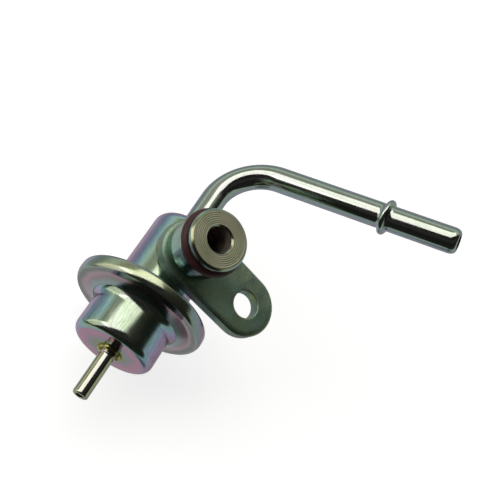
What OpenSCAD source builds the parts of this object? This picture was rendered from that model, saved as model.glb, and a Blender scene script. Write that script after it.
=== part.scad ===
// Fuel pressure regulator for a fuel rail: a crimped can with a spring loaded diaphragm valve,
// a flanged O-ring inlet, a bent return tube and a vacuum nipple.
// The origin is on the inlet axis at the plate's front face. +Z runs out along the inlet,
// +X runs along the can from the vacuum nipple to the return tube, and the bolt lobe is at -Y.
// All sizes are in millimetres.

/* [Mounting plate] */
// Thickness of the stamped plate
plate_t = 3.4; // [2.6:0.1:4.4]
// Radius of the plate's round end about the inlet
plate_end_r = 8.5; // [7.6:0.1:9.5]
// Radius of the plate's bolt lobe
lobe_r = 8.25; // [6.5:0.05:9.5]
// Diameter of the bolt hole
bolt_hole_d = 7.0; // [6.4:0.1:9]
// Distance from the inlet axis to the bolt hole, across the can
bolt_reach = 19.2; // [17:0.1:24]
// Offset of the bolt hole towards the vacuum nipple
bolt_offset = 1.6; // [0:0.1:4]
// Radius of the plate's rolled front edge
plate_edge_r = 0.5; // [0.2:0.05:0.9]

/* [Inlet spigot] */
// Height of the spigot's end face above the plate
spigot_h = 13.2; // [11.8:0.1:16]
// Diameter of the spigot's two lands
spigot_d = 15.4; // [14.8:0.1:16]
// Diameter of the fuel bore
spigot_bore_d = 6.5; // [5:0.1:8]
// Size of the chamfer on the spigot's end
spigot_chamfer = 0.55; // [0.2:0.05:0.8]
// Diameter of the relief between the lower land and the plate
relief_d = 13.8; // [12.6:0.1:14.6]
// Height of the relief
relief_h = 2.6; // [1.2:0.1:3.6]
// Length of the nose between the O-ring groove and the spigot's end face
nose_len = 1.8; // [1.2:0.1:2.4]
// Width of the O-ring groove
groove_w = 3.6; // [3:0.1:4]
// Diameter at the bottom of the O-ring groove
groove_d = 12.0; // [11.4:0.1:12.6]
// Diameter of the shank that is brazed through the plate into the can
shank_d = 10.0; // [8.6:0.1:11]

/* [O-ring] */
// Thickness of the O-ring's cord
ring_cord = 2.5; // [2:0.05:2.8]

/* [Fuel chamber can] */
// Outer diameter of the can
can_d = 19.3; // [18.4:0.1:21]
// Wall of the can
can_wall = 1.2; // [0.8:0.05:1.5]
// Distance from the inlet axis to the can's closed end
can_end = 10.25; // [9.5:0.05:14]
// Outer radius of the can's shoulder
shoulder_r = 3.0; // [1.6:0.1:4]
// Radius of the bend from the can into its flange
flange_fillet = 2.0; // [1:0.1:3]
// Depth of the flat that is pressed into the can under the plate
seat_flat = 0.5; // [0.2:0.05:0.7]

/* [Crimped rim] */
// Diameter of the crimped rim
rim_d = 36.0; // [34.6:0.1:40]
// Distance from the inlet axis to the flange face that the diaphragm lies on
rim_back = 14.5; // [14:0.1:18]
// Radial wall of the fold
rim_wall = 1.1; // [0.8:0.05:1.4]
// Thickness of the folded lip
lip_t = 0.9; // [0.6:0.05:1.2]
// Gap between the lip's edge and the cup's wall
lip_gap = 1.05; // [0.8:0.05:1.8]
// Width of the lip's sloping part
lip_slope_w = 3.1; // [2.6:0.1:3.6]
// Rise of the lip's sloping part
lip_rise = 1.2; // [0.4:0.05:1.6]
// Radius of the rim's rolled front
rim_front_r = 2.2; // [1.8:0.1:3]
// Width of the rolled front, up to its crisp edge
rim_front_w = 1.5; // [0.6:0.05:1.7]
// Corner radius of the rim on the can's side
rim_back_r = 1.6; // [0.6:0.05:1.8]

/* [Spring cover] */
// Outer diameter of the cover's cup
cup_d = 21.7; // [20.6:0.1:22.6]
// Sheet thickness of the cover
cover_t = 1.0; // [0.8:0.05:1.3]
// Distance from the inlet axis to the cup's end
cup_end = 29.3; // [27.5:0.1:36]
// Outer corner radius of the cup's end
cup_corner_r = 2.2; // [1.5:0.1:4]
// Radius of the bend at the cup's root
cup_root_r = 2.1; // [1:0.05:2.4]

/* [Vacuum nipple] */
// Outer diameter of the nipple
nipple_d = 4.1; // [3.4:0.1:5.4]
// Step from the nipple to its thicker shank
nipple_step = 0.3; // [0.1:0.05:0.6]
// Bore of the nipple
nipple_bore_d = 2.2; // [1.4:0.1:2.6]
// Free length of the nipple
nipple_len = 13.2; // [9:0.1:22]
// Radius of the nipple's rounded tip
nipple_tip_r = 0.5; // [0.2:0.05:0.7]
// Width of the braze fillet round the nipple
braze_w = 1.5; // [0.6:0.1:2.2]

/* [Return tube] */
// Outer diameter of the tube
tube_d = 7.1; // [6.4:0.1:8]
// Wall of the tube
tube_wall = 0.7; // [0.5:0.05:1]
// Straight length from the can's end to the bend
tube_run = 12.75; // [6:0.05:20]
// Bend radius at the tube's centre line
bend_r = 13.6; // [11:0.1:18]
// Bend angle
bend_angle = 90; // [60:1:110]
// Turn of the bend about the can's axis, from the plate's plane towards the inlet
bend_roll = 41.2; // [20:0.1:60]
// Straight length from the bend to the bead's middle
bead_run = 31.4; // [20:0.1:50]
// Length from the bead's middle to the tube's end
hose_run = 19.9; // [12:0.1:30]
// Diameter of the bead that holds the hose
bead_d = 9.8; // [9.2:0.1:11]
// Width of the bead
bead_w = 1.9; // [1.2:0.1:3]
// Length of the tube's rolled end
tube_end_len = 2.0; // [1:0.1:3]
// How far the tube's end is rolled in
tube_end_in = 1.2; // [0.6:0.05:1.4]

/* [Valve] */
// Thickness of the diaphragm
diaphragm_t = 0.6; // [0.4:0.05:0.8]
// Diameter of the valve holder's flange
holder_d = 14.0; // [12:0.1:15]
// Thickness of the valve holder's flange
holder_t = 1.0; // [0.7:0.05:1.4]
// Diameter of the valve holder's boss
boss_d = 5.8; // [5.2:0.1:7]
// Diameter of the self-aligning ball
ball_d = 3.2; // [2.8:0.1:3.6]
// Diameter of the valve disc
disc_d = 6.0; // [5.4:0.1:7]
// Thickness of the valve disc
disc_t = 0.8; // [0.6:0.05:1.2]
// Bore of the valve seat
seat_bore_d = 2.6; // [1.8:0.1:3]
// Height of the valve seat's head
seat_head_h = 1.8; // [1.2:0.1:3]
// Length of the valve seat that is pressed into the tube
seat_plug = 4.0; // [2:0.1:6]
// Diameter of the rivet that holds the valve to the diaphragm
rivet_d = 3.0; // [2.4:0.1:3.6]

/* [Main spring] */
// Mean diameter of the spring
spring_d = 13.2; // [12:0.1:13.8]
// Wire diameter of the spring
spring_wire = 1.6; // [1.2:0.05:1.8]
// Number of free turns between the two closed ends
spring_turns = 2.5; // [2:0.5:3]
// Sheet thickness of the spring seat
spring_seat_t = 0.8; // [0.6:0.05:1.1]
// Height of the spring seat's rim
spring_seat_h = 1.7; // [1.2:0.1:2.5]

/* [Hidden] */
$fn = 96;
// Gap that is filled with braze between a piece and its hole
braze_gap = 0.05;
// Gap between two pressed sheets that lie on each other
sheet_gap = 0.02;
// Working gap between the valve's pieces
work_gap = 0.05;
// Gap between the valve disc and its seat, and between the disc and the retainer
seat_gap = 0.1;
disc_gap = 0.2;
// Gap between the edge of the cover's flange and the fold
edge_gap = 0.2;
// How far the plate's straight sides lie inside the lines that touch its round ends
web_inset = 0.05;
// Gap between the closed end turns of a coil
coil_gap = 0.08;
// Gap between the diaphragm's roll and the pieces beside it
roll_gap = 0.3;
// Gap between the main spring and the rim of its seat
spring_side = 0.25;
// Broken edge on the valve's turned pieces
edge_break = 0.3;
// Width and height of the rivet's head
rivet_lip = 0.9;
rivet_head_h = 0.8;
// Room for the ball's spring, and its wire
spring_room = 1.7;
ball_wire = 0.35;
// Height of the ball's retainer, and how far it starts past the ball's middle
retainer_t = 0.6;
retainer_lead = 0.3;
// How far a cutting shape runs past the face that it cuts
over = 1;
// Steps in a quarter turn of a profile's curve
arc_steps = 8;

can_r = can_d / 2;
rim_r = rim_d / 2;
cup_r = cup_d / 2;
tube_r = tube_d / 2;
tube_bore_r = tube_r - tube_wall;
spigot_r = spigot_d / 2;
groove_z = spigot_h - nose_len - groove_w;
shank_r = shank_d / 2;
nipple_r = nipple_d / 2;
nipple_shank_r = nipple_r + nipple_step;
ball_r = ball_d / 2;
boss_r = boss_d / 2;
rivet_r = rivet_d / 2;
axis_drop = plate_t + can_r - seat_flat;

// Places along the can's axis, from the diaphragm towards the cover
seat_x = -rim_back;
back_x = seat_x + can_wall;
dia_x = seat_x - diaphragm_t;
cover_x = dia_x - cover_t;
lip_in_x = cover_x - sheet_gap;
rim_front_x = lip_in_x - lip_t;
cup_x = -cup_end;
cup_in_x = cup_x + cover_t;
fold_r = rim_r - rim_wall;
lip_edge_r = cup_r + lip_gap;
lip_flat_r = lip_edge_r + lip_slope_w;
lip_slope = lip_rise / lip_slope_w;
cover_edge_r = fold_r - edge_gap;

// Places along the can's axis, from the diaphragm towards the return tube
flange_x = seat_x + holder_t;
ball_x = seat_x + work_gap + spring_room + work_gap + ball_r;
retainer_x = ball_x + retainer_lead;
retainer_end_x = retainer_x + retainer_t;
disc_back_x = retainer_end_x + disc_gap;
disc_x = disc_back_x + disc_t;
land_x = disc_x + seat_gap;
tube_in_x = land_x + seat_head_h;
bend_x = can_end + tube_run;
spring_seat_in = (spring_d + spring_wire) / 2 + spring_side;
spring_seat_r = spring_seat_in + spring_seat_t;

// Bolt lobe, and the two lines that join it to the plate's round end
bolt_xy = [-bolt_offset, -bolt_reach];
lobe_d = norm(bolt_xy);
lobe_dir = atan2(bolt_xy[1], bolt_xy[0]);
side_turn = acos((plate_end_r - lobe_r) / lobe_d);
side_len = sqrt(lobe_d * lobe_d - pow(plate_end_r - lobe_r, 2));
function polar(r, a) = [r * cos(a), r * sin(a)];
function arc(c, r, a0, a1) = [for (i = [0:arc_steps]) c + polar(r, a0 + (a1 - a0) * i / arc_steps)];

// The cover's outer face along its flange, as a place on the axis at radius r
function cover_at(r) = cover_x - lip_slope * max(0, lip_flat_r - r);
slope_len = sqrt(1 + lip_slope * lip_slope);
slope_dir = atan(lip_slope);
root_r = cup_r + cup_root_r;
root_x = cover_at(root_r) - cup_root_r * slope_len;
// Inner corner of the lip's edge, which stays clear of the cover's bend
root_side = max(root_r - lip_edge_r, 0);
root_top = root_x + sqrt(cup_root_r * cup_root_r - root_side * root_side);
lip_edge_x = min(lip_in_x - lip_rise, root_top - sheet_gap);

// Coil of round wire along +Z with closed ends, swept as rings of points
function coil_z(u, turns, len, wire) = let (a = min(u, 1), b = min(max(u - 1, 0), turns),
  c = max(u - 1 - turns, 0), close = wire + coil_gap, p = (len - wire - 2 * close) / turns)
  wire / 2 + (a + c) * close + b * p;
module coil(d, wire, turns, len, steps, sides) {
  count = ceil((turns + 2) * steps);
  ring = [for (i = [0:count]) let (u = i / count * (turns + 2), t = u * 360,
    z = coil_z(u, turns, len, wire)) [for (k = [0:sides - 1]) let (q = k * 360 / sides,
    r = d / 2 + wire / 2 * cos(q)) [r * cos(t), r * sin(t), z + wire / 2 * sin(q)]]];
  pts = [for (g = ring, p = g) p];
  walls = [for (i = [0:count - 1], k = [0:sides - 1]) let (m = (k + 1) % sides)
    [i * sides + k, i * sides + m, (i + 1) * sides + m, (i + 1) * sides + k]];
  first = [for (k = [0:sides - 1]) sides - 1 - k];
  last = [for (k = [0:sides - 1]) count * sides + k];
  polyhedron(pts, concat([first], walls, [last]), convexity = 8);
}

// Places a shape that is drawn along +Z on the can's axis, along +X
module on_axis() {
  translate([0, 0, -axis_drop]) rotate([0, 90, 0]) children();
}

// Revolves a profile of [radius, place along the can's axis]
module turned(points) {
  on_axis() rotate_extrude() polygon(points);
}

// Corner that rounds an edge: the edge is at the origin, the metal at -X and -Y
module edge_corner(r) {
  difference() {
    translate([-r, -r]) square(r + over);
    translate([-r, -r]) circle(r);
  }
}

// One round end of the plate, with its rolled front edge
module plate_disc(r) {
  rotate_extrude() difference() {
    translate([0, -plate_t]) square([r, plate_t]);
    translate([r, 0]) edge_corner(plate_edge_r);
  }
}

// Straight length of the plate between its round ends, with the same rolled edge
module plate_web() {
  n1 = lobe_dir + side_turn;
  n2 = lobe_dir - side_turn;
  end_r = plate_end_r - web_inset;
  far_r = lobe_r - web_inset;
  difference() {
    translate([0, 0, -plate_t]) linear_extrude(plate_t) polygon([polar(end_r, n1),
      bolt_xy + polar(far_r, n1), bolt_xy + polar(far_r, n2), polar(end_r, n2)]);
    rotate([0, 0, n1]) translate([end_r, over, 0]) rotate([90, 0, 0])
      linear_extrude(side_len + 2 * over) edge_corner(plate_edge_r);
    translate([bolt_xy[0], bolt_xy[1], 0]) rotate([0, 0, n2]) translate([far_r, over, 0])
      rotate([90, 0, 0]) linear_extrude(side_len + 2 * over) edge_corner(plate_edge_r);
  }
}

// Deep drawn can with its flange and the rim that is folded over the cover
module fuel_chamber_can() {
  hole_r = tube_r + braze_gap;
  inner_r = can_r - can_wall;
  end_in = can_end - can_wall;
  round_in = max(shoulder_r - can_wall, edge_break);
  bend_c = [can_r + flange_fillet, back_x + flange_fillet];
  flat_half = max(plate_end_r, lobe_r + bolt_offset) + braze_gap;
  outer = concat(
    [[hole_r, can_end]],
    arc([can_r - shoulder_r, can_end - shoulder_r], shoulder_r, 90, 0),
    arc(bend_c, flange_fillet, 180, 270),
    arc([rim_r - rim_back_r, back_x - rim_back_r], rim_back_r, 90, 0),
    arc([rim_r - rim_front_r, rim_front_x + rim_front_w], rim_front_r, 0, -asin(rim_front_w / rim_front_r)));
  lip = [[lip_flat_r, rim_front_x], [lip_edge_r, rim_front_x - lip_rise], [lip_edge_r, lip_edge_x],
    [lip_flat_r, lip_in_x], [fold_r, lip_in_x], [fold_r, seat_x]];
  inner = concat(
    arc(bend_c, flange_fillet + can_wall, 270, 180),
    arc([inner_r - round_in, end_in - round_in], round_in, 0, 90),
    [[hole_r, end_in]]);
  color("#8f9a94") difference() {
    turned(concat(outer, lip, inner));
    translate([-flat_half, -can_r, -plate_t]) cube([2 * flat_half, can_d, plate_t + over]);
    translate([0, 0, -plate_t - can_r / 2]) cylinder(r = shank_r + braze_gap, h = plate_t + can_r);
  }
}

// Stamped plate with the bolt lobe
module mounting_plate() {
  color("#5a6350") difference() {
    union() {
      plate_disc(plate_end_r);
      translate([bolt_xy[0], bolt_xy[1], 0]) plate_disc(lobe_r);
      plate_web();
    }
    translate([0, 0, -plate_t - over]) cylinder(r = shank_r + braze_gap, h = plate_t + 2 * over);
    translate([bolt_xy[0], bolt_xy[1], -plate_t - over]) cylinder(d = bolt_hole_d, h = plate_t + 2 * over);
  }
}

// Braze that fills the wedge between the plate's back and the can
module plate_braze() {
  fill_r = min(shank_r + 2 * braze_w - edge_break, plate_end_r - braze_gap);
  fill_h = can_r - seat_flat - sqrt(can_r * can_r - fill_r * fill_r);
  color("#b5a35c") difference() {
    translate([0, 0, -plate_t - fill_h]) cylinder(r = fill_r, h = fill_h);
    on_axis() cylinder(r = can_r + sheet_gap, h = 4 * fill_r, center = true);
    translate([0, 0, -plate_t - fill_h - over]) cylinder(r = shank_r + braze_gap, h = fill_h + 2 * over);
  }
}

// Turned inlet with two lands, an O-ring groove and a shank through the plate
module inlet_spigot() {
  bore_r = spigot_bore_d / 2;
  edge = spigot_chamfer / 2;
  shank_z = -plate_t - can_wall - braze_gap;
  color("#7c7a60") rotate_extrude() polygon([
    [bore_r, shank_z], [shank_r, shank_z], [shank_r, 0], [relief_d / 2, 0],
    [relief_d / 2, relief_h], [spigot_r - edge, relief_h], [spigot_r, relief_h + edge],
    [spigot_r, groove_z - edge], [spigot_r - edge, groove_z], [groove_d / 2, groove_z],
    [groove_d / 2, groove_z + groove_w], [spigot_r, groove_z + groove_w],
    [spigot_r, spigot_h - spigot_chamfer], [spigot_r - spigot_chamfer, spigot_h],
    [bore_r + edge, spigot_h], [bore_r, spigot_h - edge]]);
}

// Rubber ring in the spigot's groove
module o_ring() {
  color("#4a2c2c") translate([0, 0, groove_z + groove_w / 2]) rotate_extrude()
    translate([groove_d / 2 + work_gap + ring_cord / 2, 0]) circle(d = ring_cord);
}

// Places a shape that is drawn along +X at the start of the tube's bend, which turns towards +Y
module on_bend() {
  translate([bend_x, 0, -axis_drop]) rotate([180 - bend_roll, 0, 0]) children();
}

// Bent return tube with the bead that keeps the hose on
module return_tube() {
  leg = bead_run + hose_run;
  bead = [for (i = [-arc_steps:arc_steps]) let (a = 90 * i / arc_steps)
    [tube_r + (bead_d / 2 - tube_r) * cos(a), bead_run + bead_w / 2 * sin(a)]];
  mouth_r = tube_r - tube_end_in;
  rolled = [for (i = [0:arc_steps]) let (a = 90 * i / arc_steps)
    [mouth_r + tube_end_in * cos(a), leg - tube_end_len * (1 - sin(a))]];
  color("#9aa59c") on_bend() {
    rotate([0, 90, 0]) rotate_extrude() polygon([[tube_bore_r, tube_in_x - bend_x],
      [tube_r, tube_in_x - bend_x], [tube_r, 0], [tube_bore_r, 0]]);
    translate([0, bend_r, 0]) rotate([0, 0, -90]) rotate_extrude(angle = bend_angle)
      translate([bend_r, 0]) difference() {
        circle(tube_r);
        circle(tube_bore_r);
      }
    translate([bend_r * sin(bend_angle), bend_r * (1 - cos(bend_angle)), 0]) rotate([0, 0, bend_angle])
      rotate([0, 90, 0]) rotate_extrude() polygon(concat([[tube_bore_r, 0], [tube_r, 0]], bead, rolled,
        [[mouth_r, leg - tube_wall / 2], [tube_bore_r, leg - tube_end_len]]));
  }
}

// Hollow fillet of braze round a tube, drawn along +Z from the face that it lies on
module braze_fillet(r, w) {
  rotate_extrude() polygon(concat([[r + braze_gap, 0]], arc([r + braze_gap + w, w], w, 270, 180)));
}

// Braze round the return tube at the can's end
module tube_braze() {
  color("#b5a35c") on_axis() translate([0, 0, can_end]) braze_fillet(tube_r, braze_w);
}

// Hard seat that is pressed into the tube's inner end
module valve_seat() {
  bore_r = seat_bore_d / 2;
  land_r = bore_r + tube_wall;
  color("#b9a35a") turned([[bore_r, land_x], [land_r, land_x], [tube_r, land_x + (tube_r - land_r) / 2],
    [tube_r, tube_in_x], [tube_bore_r, tube_in_x], [tube_bore_r, tube_in_x + seat_plug],
    [bore_r, tube_in_x + seat_plug]]);
}

// Drawn cover that holds the spring
module spring_cover() {
  in_r = cup_r - cover_t;
  corner_in = max(cup_corner_r - cover_t, edge_break);
  bend_in = cup_root_r + cover_t;
  hole_r = nipple_shank_r + braze_gap;
  a1 = 90 + slope_dir;
  outer = concat(
    [[cover_edge_r, dia_x], [cover_edge_r, cover_x], [lip_flat_r, cover_x]],
    arc([root_r, root_x], cup_root_r, a1, 180),
    arc([cup_r - cup_corner_r, cup_x + cup_corner_r], cup_corner_r, 0, -90),
    [[hole_r, cup_x]]);
  inner = concat(
    [[hole_r, cup_in_x]],
    arc([in_r - corner_in, cup_in_x + corner_in], corner_in, -90, 0),
    arc([root_r, root_x], bend_in, 180, a1),
    [[lip_flat_r, dia_x]]);
  color("#8f8f96") turned(concat(outer, inner));
}

// Straight nipple for the vacuum hose, with a thicker shank through the cover
module vacuum_nipple() {
  bore_r = nipple_bore_d / 2;
  tip_x = cup_x - nipple_len;
  color("#a9ad92") turned(concat([[bore_r, cup_in_x], [nipple_shank_r, cup_in_x],
    [nipple_shank_r, cup_x - braze_w], [nipple_r, cup_x - braze_w]],
    arc([nipple_r - nipple_tip_r, tip_x + nipple_tip_r], nipple_tip_r, 0, -90), [[bore_r, tip_x]]));
}

// Braze round the nipple at the cover's end
module nipple_braze() {
  color("#b5b36a") translate([cup_x, 0, -axis_drop]) rotate([0, -90, 0])
    braze_fillet(nipple_shank_r, braze_w);
}

// Rubber and cloth diaphragm with one roll
module diaphragm() {
  half = diaphragm_t / 2;
  mid = seat_x - half;
  roll_in = max(spring_seat_r, holder_d / 2) + roll_gap;
  roll_out = can_r + flange_fillet - roll_gap;
  roll_c = (roll_in + roll_out) / 2;
  roll_r = (roll_out - roll_in) / 2;
  dip = asin(half / roll_r);
  color("#2b2b2b") turned(concat(
    [[rivet_r + work_gap, seat_x], [roll_c - roll_r + diaphragm_t, seat_x]],
    arc([roll_c, mid], roll_r - diaphragm_t, 180, 360),
    [[roll_c + roll_r - diaphragm_t, seat_x], [cover_edge_r, seat_x], [cover_edge_r, dia_x]],
    arc([roll_c, mid], roll_r, 360 - dip, 180 + dip),
    [[rivet_r + work_gap, dia_x]]));
}

// Turned holder that is riveted through the diaphragm and carries the ball
module valve_holder() {
  head_r = rivet_r + rivet_lip;
  head_x = dia_x - spring_seat_t;
  bore_r = ball_r + work_gap;
  color("#a8a9a5") difference() {
    turned([[0, head_x - rivet_head_h], [rivet_r, head_x - rivet_head_h], [head_r, head_x - edge_break],
      [head_r, head_x],
      [rivet_r, head_x], [rivet_r, seat_x], [holder_d / 2, seat_x], [holder_d / 2, flange_x - edge_break],
      [holder_d / 2 - edge_break, flange_x], [boss_r, flange_x], [boss_r, retainer_x], [0, retainer_x]]);
    on_axis() translate([0, 0, seat_x + work_gap]) cylinder(r = bore_r, h = retainer_x - seat_x + over);
  }
}

// Ball that lets the valve disc lie flat on its seat
module valve_ball() {
  color("#c8ccd0") difference() {
    on_axis() translate([0, 0, ball_x]) sphere(ball_r);
    translate([disc_back_x, -ball_d, -axis_drop - ball_d]) cube(2 * ball_d);
  }
}

// Small spring that presses the ball against its retainer
module ball_spring() {
  color("#8a8f94") on_axis() translate([0, 0, seat_x + 2 * work_gap])
    coil(ball_d - 3 * ball_wire, ball_wire, 1.5, spring_room - work_gap, 16, 6);
}

// Ring that is swaged over the ball
module ball_retainer() {
  color("#a0a29c") difference() {
    turned([[0, retainer_x], [boss_r, retainer_x], [boss_r, retainer_end_x], [0, retainer_end_x]]);
    on_axis() translate([0, 0, ball_x]) sphere(ball_r + work_gap);
  }
}

// Flat valve disc on the ball
module valve_disc() {
  color("#c0c4c6") turned([[0, disc_back_x], [disc_d / 2, disc_back_x], [disc_d / 2, disc_x], [0, disc_x]]);
}

// Pressed dish that carries the spring on the diaphragm
module spring_seat() {
  face_x = dia_x - spring_seat_t;
  rim_x = dia_x - spring_seat_h;
  color("#9a9c98") turned([[rivet_r + work_gap, dia_x], [spring_seat_r, dia_x], [spring_seat_r, rim_x],
    [spring_seat_in, rim_x], [spring_seat_in, face_x], [rivet_r + work_gap, face_x]]);
}

// Coil spring between the cover's end and the spring seat
module main_spring() {
  foot_x = dia_x - spring_seat_t - work_gap;
  head_x = cup_in_x + work_gap;
  color("#77797c") on_axis() translate([0, 0, head_x])
    coil(spring_d, spring_wire, spring_turns, foot_x - head_x, 20, 8);
}

fuel_chamber_can();
mounting_plate();
plate_braze();
inlet_spigot();
o_ring();
return_tube();
tube_braze();
valve_seat();
spring_cover();
vacuum_nipple();
nipple_braze();
diaphragm();
valve_holder();
valve_ball();
ball_spring();
ball_retainer();
valve_disc();
spring_seat();
main_spring();
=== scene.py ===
"""Fine meshes, finishes and stage for a fuel pressure regulator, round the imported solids."""
import math

import bmesh
import bpy
from bpy.props import FloatProperty, FloatVectorProperty, PointerProperty
from mathutils import Matrix, Vector, noise
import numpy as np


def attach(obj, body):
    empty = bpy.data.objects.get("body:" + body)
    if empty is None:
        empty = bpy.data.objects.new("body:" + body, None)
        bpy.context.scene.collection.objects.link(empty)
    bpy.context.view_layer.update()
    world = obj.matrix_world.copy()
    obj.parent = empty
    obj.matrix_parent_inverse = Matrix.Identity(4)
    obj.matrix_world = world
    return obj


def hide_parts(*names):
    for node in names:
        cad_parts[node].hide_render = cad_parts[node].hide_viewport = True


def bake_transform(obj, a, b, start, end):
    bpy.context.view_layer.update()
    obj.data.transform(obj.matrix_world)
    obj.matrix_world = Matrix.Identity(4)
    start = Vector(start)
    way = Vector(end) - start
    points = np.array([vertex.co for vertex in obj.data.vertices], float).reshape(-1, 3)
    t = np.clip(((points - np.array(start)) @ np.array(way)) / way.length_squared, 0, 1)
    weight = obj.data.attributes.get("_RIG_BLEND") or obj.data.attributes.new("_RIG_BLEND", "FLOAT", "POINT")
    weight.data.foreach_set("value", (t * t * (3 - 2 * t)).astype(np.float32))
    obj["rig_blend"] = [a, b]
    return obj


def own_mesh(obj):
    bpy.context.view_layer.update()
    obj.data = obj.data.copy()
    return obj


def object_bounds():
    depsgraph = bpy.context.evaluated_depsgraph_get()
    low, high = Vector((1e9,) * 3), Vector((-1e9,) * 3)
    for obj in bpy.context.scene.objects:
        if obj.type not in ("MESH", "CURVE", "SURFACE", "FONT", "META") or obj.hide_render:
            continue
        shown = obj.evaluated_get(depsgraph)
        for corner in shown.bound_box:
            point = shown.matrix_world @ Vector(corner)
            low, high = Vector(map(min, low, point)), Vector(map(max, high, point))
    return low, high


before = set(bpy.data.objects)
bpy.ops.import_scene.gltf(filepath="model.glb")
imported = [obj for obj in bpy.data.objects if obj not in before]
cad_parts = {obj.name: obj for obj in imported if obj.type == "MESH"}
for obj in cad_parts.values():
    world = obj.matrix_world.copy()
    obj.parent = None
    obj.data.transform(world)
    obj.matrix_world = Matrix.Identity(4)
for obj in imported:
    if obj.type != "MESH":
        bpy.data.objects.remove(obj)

bl_info = {
    "name": "Fuel pressure regulator",
    "version": (1, 0, 0),
    "blender": (4, 5, 0),
    "location": "View3D > Sidebar > Regulator",
    "description": "Builds the regulator's fine meshes, finishes and stage",
    "category": "Object",
}

MM = 0.001
CAD_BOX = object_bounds()
# Points round a large, a small and a bent round piece, and steps in a fillet and in a rolled edge
TURN_STEPS = 160
SMALL_STEPS = 96
TUBE_STEPS = 64
FILLET_STEPS = 8
ROLL_STEPS = 16
# Edges that bend more than this are drawn sharp
SHARP = math.radians(38)
# Radii of small edges, from a crease to a soft edge
CREASE = 0.08 * MM
CRISP = 0.1 * MM
FINE = 0.12 * MM
CUT = 0.15 * MM
SOFT = 0.2 * MM
# Clearance of a piece in its hole, and between folded sheets
SLIP = 0.05 * MM
PLAY = 0.02 * MM
# A face's middle this close to a place counts as lying there
TOUCH = 0.05 * MM


def linear(code):
    """sRGB hex code to linear red, green, blue and alpha."""
    parts = [int(code[i:i + 2], 16) / 255 for i in (1, 3, 5)]
    return [c / 12.92 if c <= 0.04045 else ((c + 0.055) / 1.055) ** 2.4 for c in parts] + [1.0]


def length(name, text, mm):
    """A size in metres, given in millimetres."""
    return FloatProperty(name=name, description=text, default=mm * MM, unit="LENGTH", precision=5)


def colour(name, text, code):
    """A colour, given as an sRGB hex code."""
    return FloatVectorProperty(name=name, description=text, default=linear(code)[:3], subtype="COLOR")


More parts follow.
